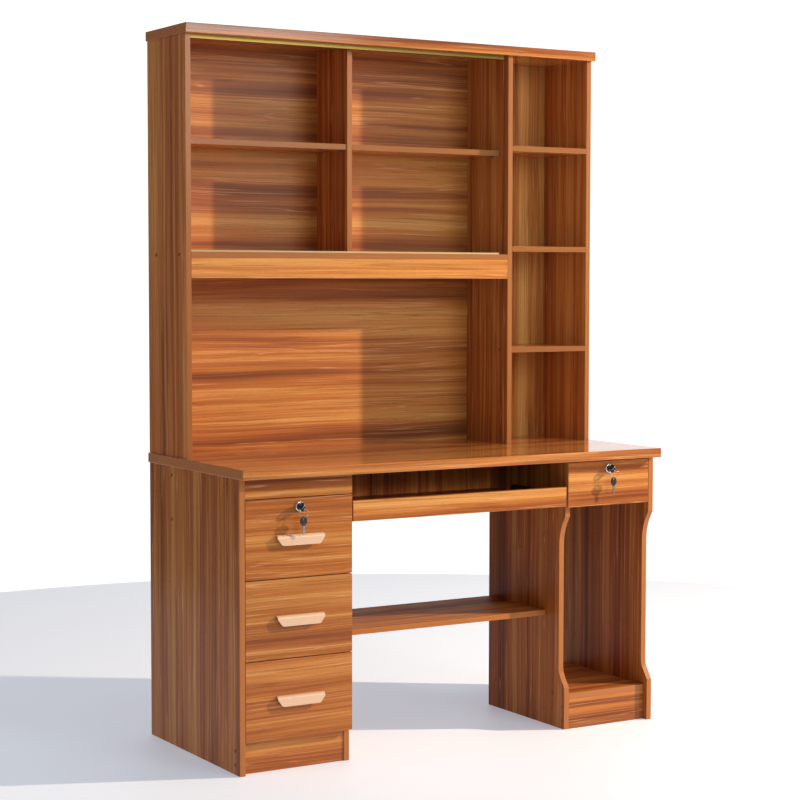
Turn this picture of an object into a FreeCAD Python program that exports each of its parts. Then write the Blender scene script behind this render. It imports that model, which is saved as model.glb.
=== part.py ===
# Computer desk with a bookcase hutch, a three-drawer pedestal, a tower bay with a
# small drawer, a pull-out keyboard tray and a footrest shelf.
#
# Lengths are millimetres. Every board is laid out from three faces of the carcass:
# distances to the right of the left side panel's outer face, behind the plane of the
# drawer fronts, and above the floor. The document's own origin is on the floor, under
# the middle of the worktop: +X is to the sitter's right, +Y to the back, +Z up.
import FreeCAD, Part
import os
import Sketcher

SIZES = {
    # worktop and carcass
    "worktop_length": (1260, "worktop, left to right"),
    "worktop_depth": (565, "worktop, front to back"),
    "worktop_thick": (25, "worktop thickness"),
    "worktop_top": (750, "worktop's upper face above the floor"),
    "front_overhang": (30, "worktop in front of the drawer fronts"),
    "side_overhang": (5, "worktop and hutch top past each side panel"),
    "board_thick": (15, "side panels, shelves, fronts and rails"),
    "drawer_board": (12, "drawer sides and backs"),
    "thin_panel": (5, "back panels and drawer bottoms"),
    "edge_round": (0.8, "rounding of the banded edges"),
    "worktop_round": (2, "rounding of the worktop and the hutch top"),
    "pedestal_width": (311, "pedestal, to the outer face of its inner panel"),
    "bay_left": (970, "kneehole face of the tower bay's inner panel"),
    "inner_set_back": (16, "inner panels behind the plane of the fronts"),
    "inner_back": (388, "back edges of the inner panels"),
    "rail_height": (160, "rear rail below the worktop"),
    "plinth_set_back": (19, "pedestal plinth behind the plane of the fronts"),
    "plinth_top": (79, "pedestal floor board's upper face"),
    "bay_floor_top": (96, "tower bay floor's upper face"),
    "footrest_front": (106, "footrest shelf behind the plane of the fronts"),
    "footrest_depth": (280, "footrest shelf, front to back"),
    "footrest_top": (312, "footrest shelf's upper face"),
    # cut-back front edge of the two tower bay panels
    "recess_depth": (27, "how far the edge is cut back"),
    "slant_low": (112, "height where the lower slant starts"),
    "slant_high": (151, "height where the lower slant ends"),
    "curve_low": (533, "height where the upper curve starts"),
    "curve_high": (575, "height where the upper curve ends"),
    "slant_round": (40, "radius at the top of the slant"),
    "curve_round": (130, "radius at the foot of the curve"),
    # drawers
    "drawer_line": (80, "bottom line of the lowest drawer front"),
    "drawer_pitch": (198, "height of one drawer front with its gap"),
    "front_gap": (1, "half of the gap between two fronts"),
    "small_front_bottom": (601, "lower edge of the small drawer front"),
    "small_front_top": (720, "upper edge of the small drawer front"),
    "small_front_left": (968, "left edge of the small drawer front"),
    "box_depth": (340, "drawer box, front to back"),
    "box_height": (130, "drawer box side"),
    "small_box_height": (84, "small drawer box side"),
    "box_lift": (20, "drawer box above its front's lower edge"),
    "bottom_lift": (8, "drawer bottom above the lower edge of the sides"),
    # slides
    "slide_gap": (12.7, "room for a slide on each side"),
    "slide_height": (30, "fixed rail's channel"),
    "slide_sheet": (1.2, "steel thickness of the rails"),
    "slide_channel": (9, "depth of the fixed rail's channel"),
    "slide_play": (1.6, "moving rail inside the fixed rail"),
    "slide_start": (18, "front end of the rails"),
    "drawer_slide_length": (340, "drawer slide"),
    "tray_slide_length": (245, "keyboard tray slide"),
    "slide_lift": (30, "drawer slide above the lower edge of the box"),
    # keyboard tray
    "tray_front_left": (314, "left end of the tray front"),
    "tray_front_right": (962, "right end of the tray front"),
    "tray_front_bottom": (604, "lower edge of the tray front"),
    "tray_front_height": (52, "tray front"),
    "tray_board_bottom": (608, "underside of the tray board"),
    "tray_depth": (335, "tray board, front to back"),
    # pulls
    "pull_top_width": (130, "pull at its upper edge"),
    "pull_low_width": (105, "pull at its lower edge"),
    "pull_drop": (26, "pull, top to bottom"),
    "pull_end_rise": (17, "slanted part of the pull's ends"),
    "pull_ledge": (11, "ledge in front of the drawer"),
    "pull_reach": (13, "lower edge in front of the drawer"),
    "pull_thick": (3, "wall of the pull"),
    "pull_bend": (9, "outside of the bend between the ledge and the lip"),
    "pull_round": (11, "lower corners of the pull"),
    "pull_edge": (0.5, "all other edges of the pull"),
    "pull_below_middle": (4, "pull below the middle of its drawer front"),
    # locks and keys
    "lock_drop": (22, "lock's axis below the top of the drawer front"),
    "small_lock_drop": (20, "the same on the small drawer"),
    "flange_radius": (12.5, "chrome collar"),
    "flange_thick": (3, "chrome collar in front of the drawer"),
    "housing_radius": (9, "housing in the drawer front"),
    "housing_length": (20, "housing behind the collar"),
    "plug_radius": (6, "turning plug"),
    "plug_play": (0.08, "running clearance round the plug"),
    "cam_thick": (2, "locking cam"),
    "cam_length": (33, "locking cam from the lock's axis"),
    "cam_width": (10, "locking cam"),
    "mortise_play": (2.5, "cam's slot in the worktop, round the cam"),
    "mortise_width": (36, "the same slot, left to right"),
    "key_shank": (0.5, "blade between the collar and the bow"),
    "key_shank_width": (7, "blade"),
    "key_thick": (1.6, "blade and bow"),
    "bow_length": (23, "bow of the key"),
    "bow_width": (21, "bow of the key"),
    "bow_round": (9, "corners of the bow"),
    "eye_radius": (3.25, "hole in the bow"),
    "eye_inset": (5, "hole from the end of the bow"),
    "ring_radius": (11.3, "key ring, at the middle of its wire"),
    "ring_wire": (0.6, "radius of the ring's wire"),
    "ring_play": (0.15, "ring clear of the eyes it hangs in"),
    "blade_length": (22, "blade of the spare key"),
    "ring_turn": (-43, "key ring about the vertical, degrees"),
    "spare_turn": (15, "spare key about the vertical, degrees"),
    # hutch
    "hutch_front": (300, "hutch panels behind the plane of the fronts"),
    "hutch_top": (1845, "hutch top's upper face above the floor"),
    "hutch_front_overhang": (15, "hutch top in front of its panels"),
    "back_inset": (20, "back panels inside the hutch's rear edge"),
    "groove_depth": (5, "back panels let into the side panels"),
    "groove_play": (0.2, "groove wider than the back panel"),
    "mid_left": (485, "middle divider's left face"),
    "mid_front": (340, "middle divider behind the plane of the fronts"),
    "shelf_front": (342, "adjustable shelves behind the same plane"),
    "shelf_play": (1, "adjustable shelves clear of the panels"),
    "shelf_top": (1563, "adjustable shelves' upper face"),
    "hutch_floor_top": (1275, "fixed long shelf's upper face"),
    "apron_height": (52, "apron under the long shelf"),
    "column_low": (1018, "lowest shelf of the narrow column, upper face"),
    "column_mid": (1298, "middle shelf of the narrow column"),
    "column_high": (1575, "highest shelf of the narrow column"),
    "track_front": (312, "sliding-door tracks behind the plane of the fronts"),
    "track_depth": (18, "sliding-door tracks, front to back"),
    "track_lip": (2, "walls of the tracks"),
    "upper_track_height": (10, "upper track"),
    "lower_track_height": (4.5, "lower track"),
    "upper_track_end": (963, "right end of the upper track"),
    "lower_track_end": (949, "right end of the lower track"),
    "stop_length": (14, "rubber stop at the end of the lower track"),
    "pin_radius": (2.5, "shelf pin"),
    "pin_length": (9, "shelf pin out of the panel"),
    "pin_front": (374, "front row of pins"),
    "pin_rear": (478, "rear row of pins"),
    # screw caps
    "cap_radius": (4.5, "plastic cap over a connecting screw"),
    "cap_proud": (0.8, "cap in front of the board"),
    "hutch_cap_front": (340, "front caps of the hutch"),
    "hutch_cap_rear": (484, "rear caps of the hutch"),
    "floor_cap_front": (71, "front caps of the bay floor"),
    "floor_cap_rear": (336, "rear caps of the bay floor"),
    "plinth_cap_low": (24, "lower caps of the plinths"),
    "plinth_cap_high": (59, "upper caps of the plinths"),
    "rail_cap_edge": (23, "caps of the rear rail from its edges"),
}

doc = FreeCAD.newDocument("computer_desk")
sheet = doc.addObject("Spreadsheet::Sheet", "Sizes")
pieces = []


def fill_sheet():
    for row, (alias, (value, note)) in enumerate(SIZES.items(), start=1):
        sheet.set("A%d" % row, alias.replace("_", " "))
        sheet.set("B%d" % row, str(value))
        sheet.setAlias("B%d" % row, alias)
        sheet.set("C%d" % row, note)
    doc.recompute()


def size(alias):
    """The value of one cell, for the shapes that are worked out in code."""
    return float(sheet.get(alias))


def cell(formula):
    """Turn plain aliases, such as board_thick, into references to the sheet."""
    words = formula.replace("(", " ( ").replace(")", " ) ").split()
    return " ".join("Sizes." + word if word in SIZES else word for word in words)


# Layout faces, written as formulas of the sheet's aliases.
CARCASS = "( worktop_length - 2 * side_overhang )"
RIGHT_INSIDE = CARCASS + " - board_thick"
PEDESTAL_INSIDE = "( pedestal_width - board_thick )"
BAY_RIGHT = "( bay_left + board_thick )"
MID_RIGHT = "( mid_left + board_thick )"
WORKTOP_UNDER = "( worktop_top - worktop_thick )"
DEPTH = "( worktop_depth - front_overhang )"
HUTCH_UNDER = "( hutch_top - worktop_thick )"
BACK_FACE = "( " + DEPTH + " - back_inset )"
BACK_FRONT = "( " + BACK_FACE + " - thin_panel )"
TRAY_LEFT = "( pedestal_width + slide_gap )"
TRAY_RIGHT = "( bay_left - slide_gap )"
FASCIA_LINE = "( drawer_line + 3 * drawer_pitch )"
PEDESTAL_MIDDLE = "( ( board_thick + front_gap + pedestal_width ) / 2 )"
SMALL_MIDDLE = "( ( small_front_left + " + RIGHT_INSIDE + " - front_gap ) / 2 )"


def place(feature, left, front, bottom):
    """Bind a piece's corner to its place in the carcass."""
    feature.setExpression("Placement.Base.x", cell("( %s ) - %s / 2" % (left, CARCASS)))
    feature.setExpression("Placement.Base.y", cell("( %s ) + front_overhang - worktop_depth / 2" % front))
    feature.setExpression("Placement.Base.z", cell(bottom))


def origin_plane(body, role):
    return next(item for item in body.Origin.OriginFeatures if item.Role == role)


def add_sketch(body, role, name):
    sketch = body.newObject("Sketcher::SketchObject", name)
    sketch.AttachmentSupport = (origin_plane(body, role), [""])
    sketch.MapMode = "FlatFace"
    return sketch


def pin_corner(sketch, line, along, formula):
    """Hold a corner on an axis where its formula is 0, or at a bound distance from it."""
    if formula == "0":
        axis = -2 if along == "DistanceX" else -1
        sketch.addConstraint(Sketcher.Constraint("PointOnObject", line, 1, axis))
        return
    index = sketch.addConstraint(Sketcher.Constraint(along, -1, 1, line, 1, 10.0 + line))
    sketch.setExpression("Constraints[%d]" % index, cell(formula))


def draw_outline(sketch, corners):
    """A closed outline through corners, each a pair of formulas."""
    count = len(corners)
    middle = (count - 1) / 2
    spots = [FreeCAD.Vector(10 + 5 * i, 10 + (i - middle) ** 2, 0) for i in range(count)]
    for i in range(count):
        sketch.addGeometry(Part.LineSegment(spots[i], spots[(i + 1) % count]))
    for i in range(count):
        sketch.addConstraint(Sketcher.Constraint("Coincident", i, 2, (i + 1) % count, 1))
    for i, (across, up) in enumerate(corners):
        pin_corner(sketch, i, "DistanceX", across)
        pin_corner(sketch, i, "DistanceY", up)


def pad(body, sketch, length, backwards=False):
    feature = body.newObject("PartDesign::Pad", body.Name + "_pad")
    feature.Profile = sketch
    feature.Reversed = backwards
    feature.setExpression("Length", cell(length))
    return feature


def soften(body, base, radius, edges=None):
    """Round all edges of a board, or the named ones."""
    feature = body.newObject("PartDesign::Fillet", body.Name + "_round")
    feature.Base = (base, edges or ["Edge1"])
    feature.UseAllEdges = edges is None
    feature.setExpression("Radius", cell(radius))
    return feature


def finish(piece, label):
    piece.Label = label
    pieces.append(piece)
    return piece


def block(name, x, y, z, radius="edge_round"):
    """One board between two faces each way; each face is a formula of the sheet."""
    body = doc.addObject("PartDesign::Body", name)
    width, depth, height = ("( %s ) - ( %s )" % (span[1], span[0]) for span in (x, y, z))
    sketch = add_sketch(body, "XY_Plane", name + "_outline")
    draw_outline(sketch, [("0", "0"), (width, "0"), (width, depth), ("0", depth)])
    solid = pad(body, sketch, height)
    place(body, x[0], y[0], z[0])
    if radius:
        soften(body, solid, radius)
    return body


def board(label, x, y, z, radius="edge_round"):
    return finish(block(label, x, y, z, radius), label)


def group(label, members):
    """Several separate solids that are one node."""
    compound = doc.addObject("Part::Compound", label)
    compound.Links = members
    return finish(compound, label)


def edges_near(base, spots, span=0.01):
    """Names of the edges that run from side to side through the given (y, z) spots."""
    names = []
    for number, edge in enumerate(base.Shape.Edges, start=1):
        box = edge.BoundBox
        for y, z in spots:
            if abs(box.YMin - y) + abs(box.YMax - y) + abs(box.ZMin - z) + abs(box.ZMax - z) < span:
                names.append("Edge%d" % number)
    return names


# ---------------------------------------------------------------- carcass

def worktop():
    """The worktop, with a slot in its underside that the small drawer's cam turns up into."""
    body = block("worktop", ("0 - side_overhang", CARCASS + " + side_overhang"),
                 ("0 - front_overhang", DEPTH), (WORKTOP_UNDER, "worktop_top"), "worktop_round")
    doc.recompute()
    before = body.Tip.Shape.Volume
    near = "( front_overhang + housing_length - mortise_play )"
    far = "( front_overhang + housing_length + cam_thick + mortise_play )"
    right = "( %s + side_overhang + cam_width )" % SMALL_MIDDLE
    left = "( %s - mortise_width )" % right
    sketch = add_sketch(body, "XY_Plane", "worktop_slot")
    draw_outline(sketch, [(left, near), (right, near), (right, far), (left, far)])
    slot = body.newObject("PartDesign::Pocket", "worktop_mortise")
    slot.Profile = sketch
    slot.Reversed = True
    slot.setExpression("Length", cell("cam_length + mortise_play + small_front_top - small_lock_drop - "
                                      + WORKTOP_UNDER))
    doc.recompute()
    if slot.Shape.Volume > before - 1:
        raise RuntimeError("worktop: the slot cuts nothing")
    finish(body, "worktop")


def cut_back_panel(label, left, front, back):
    """An upright panel whose front edge is cut back between a slant and a long curve."""
    body = doc.addObject("PartDesign::Body", label)
    depth = "( %s ) - ( %s )" % (back, front)
    sketch = add_sketch(body, "YZ_Plane", label + "_outline")
    draw_outline(sketch, [
        ("0", "0"), (depth, "0"), (depth, WORKTOP_UNDER), ("0", WORKTOP_UNDER),
        ("0", "curve_high"), ("recess_depth", "curve_low"),
        ("recess_depth", "slant_high"), ("0", "slant_low")])
    solid = pad(body, sketch, "board_thick")
    doc.recompute()
    foot = edges_near(solid, [(size("recess_depth"), size("curve_low"))])
    curve = soften(body, solid, "curve_round", foot)
    doc.recompute()
    slant = edges_near(curve, [(size("recess_depth"), size("slant_high"))])
    soften(body, curve, "slant_round", slant)
    place(body, left, front, "0")
    finish(body, label)


def carcass():
    under = ("0", WORKTOP_UNDER)
    board("left_side_panel", ("0", "board_thick"), ("0", DEPTH), under)
    cut_back_panel("right_side_panel", RIGHT_INSIDE, "0", DEPTH)
    board("pedestal_inner_panel", (PEDESTAL_INSIDE, "pedestal_width"), ("inner_set_back", "inner_back"), under)
    cut_back_panel("bay_inner_panel", "bay_left", "inner_set_back", "inner_back")
    board("rear_rail", ("board_thick", RIGHT_INSIDE), ("inner_back", "inner_back + board_thick"),
          (WORKTOP_UNDER + " - rail_height", WORKTOP_UNDER))
    board("footrest_shelf", ("pedestal_width", "bay_left"),
          ("footrest_front", "footrest_front + footrest_depth"), ("footrest_top - board_thick", "footrest_top"))
    board("pedestal_fascia", ("board_thick", "pedestal_width"), ("0", "board_thick"),
          (FASCIA_LINE + " + front_gap", WORKTOP_UNDER))
    board("pedestal_plinth", ("board_thick", PEDESTAL_INSIDE),
          ("plinth_set_back", "plinth_set_back + board_thick"), ("0", "plinth_top"))
    board("pedestal_floor", ("board_thick", PEDESTAL_INSIDE), ("plinth_set_back + board_thick", "inner_back"),
          ("plinth_top - board_thick", "plinth_top"))
    board("pedestal_back_panel", ("board_thick", "pedestal_width"), ("inner_back", "inner_back + thin_panel"),
          ("0", WORKTOP_UNDER + " - rail_height"), None)
    board("bay_plinth", (BAY_RIGHT, RIGHT_INSIDE), ("inner_set_back", "inner_set_back + board_thick"),
          ("0", "bay_floor_top - board_thick"))
    board("bay_floor", (BAY_RIGHT, RIGHT_INSIDE), ("inner_set_back", "inner_back"),
          ("bay_floor_top - board_thick", "bay_floor_top"))


# ---------------------------------------------------------------- slides

def channel(name, left, opens_right, bottom, height, depth, length):
    """A rail of bent steel: an upright web with two flanges that face the drawer or the tray."""
    body = doc.addObject("PartDesign::Body", name)
    sketch = add_sketch(body, "XZ_Plane", name + "_section")
    inner_top = "( %s ) - slide_sheet" % height
    if opens_right:
        corners = [("0", "0"), (depth, "0"), (depth, "slide_sheet"), ("slide_sheet", "slide_sheet"),
                   ("slide_sheet", inner_top), (depth, inner_top), (depth, height), ("0", height)]
    else:
        web = "( %s ) - slide_sheet" % depth
        corners = [("0", "0"), (depth, "0"), (depth, height), ("0", height), ("0", inner_top),
                   (web, inner_top), (web, "slide_sheet"), ("0", "slide_sheet")]
    draw_outline(sketch, corners)
    pad(body, sketch, length, backwards=True)
    place(body, left, "slide_start", bottom)
    return body


def fixed_rails(name, left_face, right_face, bottom, length):
    """The pair of channels on the two panels either side of one drawer or of the tray."""
    right = "( %s ) - slide_channel" % right_face
    return [channel(name + "_left", left_face, True, bottom, "slide_height", "slide_channel", length),
            channel(name + "_right", right, False, bottom, "slide_height", "slide_channel", length)]


def moving_rails(name, left_face, right_face, bottom, length):
    """The pair of inner channels on the drawer box or the tray board."""
    height = "slide_height - 2 * slide_sheet - 2 * slide_play"
    depth = "( slide_gap - slide_sheet - slide_play )"
    low = "( %s ) + slide_sheet + slide_play" % bottom
    left = "( %s ) + slide_gap - %s" % (left_face, depth)
    right = "( %s ) - slide_gap" % right_face
    return [channel(name + "_left", left, False, low, height, depth, length),
            channel(name + "_right", right, True, low, height, depth, length)]


# ---------------------------------------------------------------- drawers

def drawer_front(label, left, right, bottom, top, lock_drop=None):
    """A front board, drilled through for the lock's housing where it has one."""
    body = doc.addObject("PartDesign::Body", label)
    width = "( ( %s ) - ( %s ) )" % (right, left)
    height = "( ( %s ) - ( %s ) )" % (top, bottom)
    sketch = add_sketch(body, "XZ_Plane", label + "_outline")
    draw_outline(sketch, [("0", "0"), (width, "0"), (width, height), ("0", height)])
    solid = pad(body, sketch, "board_thick", backwards=True)
    rounded = soften(body, solid, "edge_round")
    place(body, left, "0", bottom)
    if lock_drop:
        doc.recompute()
        before = rounded.Shape.Volume
        circle = add_sketch(body, "XZ_Plane", label + "_lock_hole")
        circle.addGeometry(Part.Circle(FreeCAD.Vector(50, 50, 0), FreeCAD.Vector(0, 0, 1), 9))
        radius = circle.addConstraint(Sketcher.Constraint("Radius", 0, 9.0))
        across = circle.addConstraint(Sketcher.Constraint("DistanceX", -1, 1, 0, 3, 50.0))
        up = circle.addConstraint(Sketcher.Constraint("DistanceY", -1, 1, 0, 3, 50.0))
        circle.setExpression("Constraints[%d]" % radius, cell("housing_radius"))
        circle.setExpression("Constraints[%d]" % across, cell(width + " / 2"))
        circle.setExpression("Constraints[%d]" % up, cell(height + " - " + lock_drop))
        hole = body.newObject("PartDesign::Pocket", label + "_bore")
        hole.Profile = circle
        hole.Type = "ThroughAll"
        hole.Midplane = True
        doc.recompute()
        if hole.Shape.Volume > before - 1:
            raise RuntimeError(label + ": the lock's hole cuts nothing")
    finish(body, label)


def drawer_box(label, left_face, right_face, bottom, height, slide_lift):
    """Two sides and a back, with a thin bottom between them and a pair of slides."""
    left = "( %s ) + slide_gap" % left_face
    right = "( %s ) - slide_gap" % right_face
    front, back = "board_thick", "board_thick + box_depth"
    rise = (bottom, "( %s ) + %s" % (bottom, height))
    inside = ("( %s ) + drawer_board" % left, "( %s ) - drawer_board" % right)
    floor = ("( %s ) + bottom_lift" % bottom, "( %s ) + bottom_lift + thin_panel" % bottom)
    group(label + "_box", [
        block(label + "_side_left", (left, inside[0]), (front, back), rise),
        block(label + "_side_right", (inside[1], right), (front, back), rise),
        block(label + "_box_back", inside, (back + " - drawer_board", back), (floor[1], rise[1]))])
    board(label + "_bottom", inside, (front, back), floor, None)
    rail_low = "( %s ) + %s" % (bottom, slide_lift)
    group(label + "_slide_rails", moving_rails(label + "_rail", left_face, right_face, rail_low,
                                               "drawer_slide_length"))
    return fixed_rails(label + "_channel", left_face, right_face, rail_low, "drawer_slide_length")


def pull(label, middle, height):
    """A bent plate: a ledge out of the drawer front, then a lip that drops and narrows at its ends."""
    body = doc.addObject("PartDesign::Body", label)
    section = add_sketch(body, "YZ_Plane", label + "_section")
    # across is measured from the tip of the lip towards the drawer front
    draw_outline(section, [
        ("pull_reach", "pull_drop"), ("pull_reach - pull_ledge", "pull_drop"), ("0", "0"), ("pull_thick", "0"),
        ("pull_reach - pull_ledge + pull_thick", "pull_drop - pull_thick"),
        ("pull_reach", "pull_drop - pull_thick")])
    plate = pad(body, section, "pull_top_width")
    doc.recompute()
    lean, wall = size("pull_reach") - size("pull_ledge"), size("pull_thick")
    outside = edges_near(plate, [(lean, size("pull_drop"))])
    bent = soften(body, plate, "pull_bend", outside)
    doc.recompute()
    inside = edges_near(bent, [(lean + wall, size("pull_drop") - wall)])
    solid = soften(body, bent, "pull_bend - pull_thick", inside)
    ends = add_sketch(body, "XZ_Plane", label + "_ends")
    inset = "( pull_top_width - pull_low_width ) / 2"
    for first, side in enumerate(("0", "pull_top_width")):
        tip = inset if first == 0 else "pull_top_width - " + inset
        base = first * 3
        spots = [FreeCAD.Vector(10 + 90 * first, 10, 0), FreeCAD.Vector(30 + 90 * first, 10, 0),
                 FreeCAD.Vector(10 + 90 * first, 30, 0)]
        for i in range(3):
            ends.addGeometry(Part.LineSegment(spots[i], spots[(i + 1) % 3]))
        for i in range(3):
            ends.addConstraint(Sketcher.Constraint("Coincident", base + i, 2, base + (i + 1) % 3, 1))
        for i, (across, up) in enumerate([(side, "0"), (tip, "0"), (side, "pull_end_rise")]):
            pin_corner(ends, base + i, "DistanceX", across)
            pin_corner(ends, base + i, "DistanceY", up)
    doc.recompute()
    before = solid.Shape.Volume
    trim = body.newObject("PartDesign::Pocket", label + "_trim")
    trim.Profile = ends
    trim.Type = "ThroughAll"
    trim.Midplane = True
    doc.recompute()
    if trim.Shape.Volume > before - 1:
        raise RuntimeError(label + ": the ends are not trimmed")
    corners = ["Edge%d" % number for number, edge in enumerate(trim.Shape.Edges, start=1)
               if edge.BoundBox.ZMax < 0.01 and edge.BoundBox.XLength < 0.01]
    rounded = soften(body, trim, "pull_round", corners)
    soften(body, rounded, "pull_edge")
    place(body, middle + " - pull_top_width / 2", "0 - pull_reach", height + " - pull_drop / 2")
    finish(body, label)


def drawers():
    channels = []
    left_face, right_face = "board_thick", PEDESTAL_INSIDE
    for number in (1, 2, 3):
        label = "drawer_%d" % number
        line = "( drawer_line + %d * drawer_pitch )" % (3 - number)
        bottom, top = line + " + front_gap", line + " + drawer_pitch - front_gap"
        drawer_front(label + "_front", "board_thick + front_gap", "pedestal_width", bottom, top,
                     "lock_drop" if number == 1 else None)
        channels += drawer_box(label, left_face, right_face, line + " + box_lift", "box_height", "slide_lift")
        pull(label + "_pull", PEDESTAL_MIDDLE, line + " + drawer_pitch / 2 - pull_below_middle")
    drawer_front("small_drawer_front", "small_front_left", RIGHT_INSIDE + " - front_gap",
                 "small_front_bottom", "small_front_top", "small_lock_drop")
    channels += drawer_box("small_drawer", BAY_RIGHT, RIGHT_INSIDE,
                           "small_front_bottom + box_lift / 2", "small_box_height", "slide_lift / 2")
    return channels


def keyboard_tray():
    board("tray_front", ("tray_front_left", "tray_front_right"), ("0", "board_thick"),
          ("tray_front_bottom", "tray_front_bottom + tray_front_height"))
    board("tray_board", (TRAY_LEFT, TRAY_RIGHT), ("board_thick", "board_thick + tray_depth"),
          ("tray_board_bottom", "tray_board_bottom + board_thick"))
    faces = ("pedestal_width", "bay_left", "tray_board_bottom + slide_play", "tray_slide_length")
    group("tray_slide_rails", moving_rails("tray_rail", *faces))
    return fixed_rails("tray_channel", *faces)


# ---------------------------------------------------------------- locks and keys

def turned(name, radius, start, length, middle, height, bore=None):
    """A round piece along Y, with its axis at the lock's axis."""
    rod = doc.addObject("Part::Cylinder", name)
    rod.setExpression("Radius", cell(radius))
    rod.setExpression("Height", cell(length))
    rod.Placement.Rotation = FreeCAD.Rotation(FreeCAD.Vector(1, 0, 0), -90)
    place(rod, middle, start, height)
    if bore is None:
        return rod
    hollow = turned(name + "_bore", bore, start + " - 1", "( %s ) + 2" % length, middle, height)
    tube = doc.addObject("Part::Cut", name + "_tube")
    tube.Base = rod
    tube.Tool = hollow
    return tube


def fuse(name, members):
    joined = doc.addObject("Part::MultiFuse", name)
    joined.Shapes = members
    joined.Refine = True
    return joined


def bow_shape(shank, tip):
    """A key lying in the XZ plane of its own frame: a rounded bow with an eye and a blade below it."""
    bow_width, bow_length, thick = size("bow_width"), size("bow_length"), size("key_thick")
    bow = Part.makeBox(bow_width, thick, bow_length, FreeCAD.Vector(-bow_width / 2, -thick / 2, -bow_length))
    upright = [edge for edge in bow.Edges if edge.BoundBox.YLength > thick / 2]
    bow = bow.makeFillet(size("bow_round"), upright)
    eye = Part.makeCylinder(size("eye_radius"), 2 * thick, FreeCAD.Vector(0, -thick, -size("eye_inset")),
                            FreeCAD.Vector(0, 1, 0))
    blade = Part.makeBox(size("key_shank_width"), thick, shank,
                         FreeCAD.Vector(-size("key_shank_width") / 2, -thick / 2, -bow_length - shank))
    key = bow.cut(eye).fuse(blade)
    if tip:
        corner = [edge for edge in key.Edges
                  if edge.BoundBox.YLength > thick / 2 and edge.BoundBox.ZMax < -bow_length - shank + 0.1]
        key = key.makeChamfer(size("key_shank_width") / 3, corner)
    return key.removeSplitter()


def lock_axis(middle, height):
    """Numeric place of a lock's axis where it meets the plane of the fronts."""
    spot = doc.addObject("Part::Vertex", "lock_axis")
    place(spot, middle, "0", height)
    doc.recompute()
    return spot.Placement.Base


def lock(label, middle, height):
    """Chrome housing, plug with its cam, the key in it and the spare key on the ring."""
    collar = turned(label + "_collar", "flange_radius", "0 - flange_thick", "flange_thick", middle, height,
                    "plug_radius + plug_play")
    barrel = turned(label + "_barrel", "housing_radius", "0", "housing_length", middle, height,
                    "plug_radius + plug_play")
    finish(fuse(label + "_housing", [collar, barrel]), label + "_housing")

    plug = turned(label + "_core", "plug_radius", "0 - flange_thick", "housing_length + flange_thick",
                  middle, height)
    cam = doc.addObject("Part::Box", label + "_cam")
    cam.setExpression("Length", cell("cam_length + cam_width / 2"))
    cam.setExpression("Width", cell("cam_thick"))
    cam.setExpression("Height", cell("cam_width"))
    place(cam, middle + " - cam_length", "housing_length", height + " - cam_width / 2")
    finish(fuse(label + "_plug", [plug, cam]), label + "_plug")

    axis = lock_axis(middle, height)
    face = axis.y - size("flange_thick")
    bow_end = face - size("key_shank") - size("bow_length")
    key = doc.addObject("Part::Feature", label + "_key")
    key.Shape = bow_shape(size("key_shank"), False)
    # the bow stands on edge and the blade points into the plug
    on_edge = FreeCAD.Rotation(FreeCAD.Vector(0, 0, 1), 90)
    pointing_in = FreeCAD.Rotation(FreeCAD.Vector(1, 0, 0), 90)
    key.Placement = FreeCAD.Placement(FreeCAD.Vector(axis.x, bow_end, axis.z), pointing_in.multiply(on_edge))
    finish(key, label + "_key")

    eye_y = bow_end + size("eye_inset")
    sag = size("eye_radius") - size("ring_wire") - size("ring_play")
    ring_top = -sag
    ring = Part.makeTorus(size("ring_radius"), size("ring_wire"),
                          FreeCAD.Vector(0, 0, ring_top - size("ring_radius")), FreeCAD.Vector(0, 1, 0))
    ring.rotate(FreeCAD.Vector(0, 0, 0), FreeCAD.Vector(0, 0, 1), size("ring_turn"))
    spare = bow_shape(size("blade_length"), True)
    spare.rotate(FreeCAD.Vector(0, 0, 0), FreeCAD.Vector(0, 0, 1), size("spare_turn"))
    spare.translate(FreeCAD.Vector(0, 0, ring_top - 2 * size("ring_radius") - sag + size("eye_inset")))
    hanging = doc.addObject("Part::Feature", label + "_spare_key")
    hanging.Shape = Part.makeCompound([ring, spare])
    hanging.Placement = FreeCAD.Placement(FreeCAD.Vector(axis.x, eye_y, axis.z), FreeCAD.Rotation())
    finish(hanging, label + "_spare_key")


def locks():
    top = FASCIA_LINE + " - front_gap"
    lock("lock_1", PEDESTAL_MIDDLE, top + " - lock_drop")
    lock("lock_2", SMALL_MIDDLE, "small_front_top - small_lock_drop")


# ---------------------------------------------------------------- hutch

def grooved_panel(label, left, bottom, top, groove_left, groove_right):
    """An upright hutch panel, grooved near its rear edge for the back panels it holds."""
    body = doc.addObject("PartDesign::Body", label)
    depth = "( " + DEPTH + " - hutch_front )"
    near = "( " + BACK_FRONT + " - hutch_front - groove_play / 2 )"
    far = "( " + BACK_FACE + " - hutch_front + groove_play / 2 )"
    deep = "( board_thick - groove_depth )"
    corners = [("0", "0"), ("board_thick", "0")]
    if groove_right:
        corners += [("board_thick", near), (deep, near), (deep, far), ("board_thick", far)]
    corners += [("board_thick", depth), ("0", depth)]
    if groove_left:
        corners += [("0", far), ("groove_depth", far), ("groove_depth", near), ("0", near)]
    sketch = add_sketch(body, "XY_Plane", label + "_outline")
    draw_outline(sketch, corners)
    solid = pad(body, sketch, "( %s ) - ( %s )" % (top, bottom))
    doc.recompute()
    front = ["Edge%d" % number for number, edge in enumerate(solid.Shape.Edges, start=1)
             if edge.BoundBox.YMax < 0.01 and edge.BoundBox.ZLength > 1]
    soften(body, solid, "edge_round", front)
    place(body, left, "hutch_front", bottom)
    finish(body, label)


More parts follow.
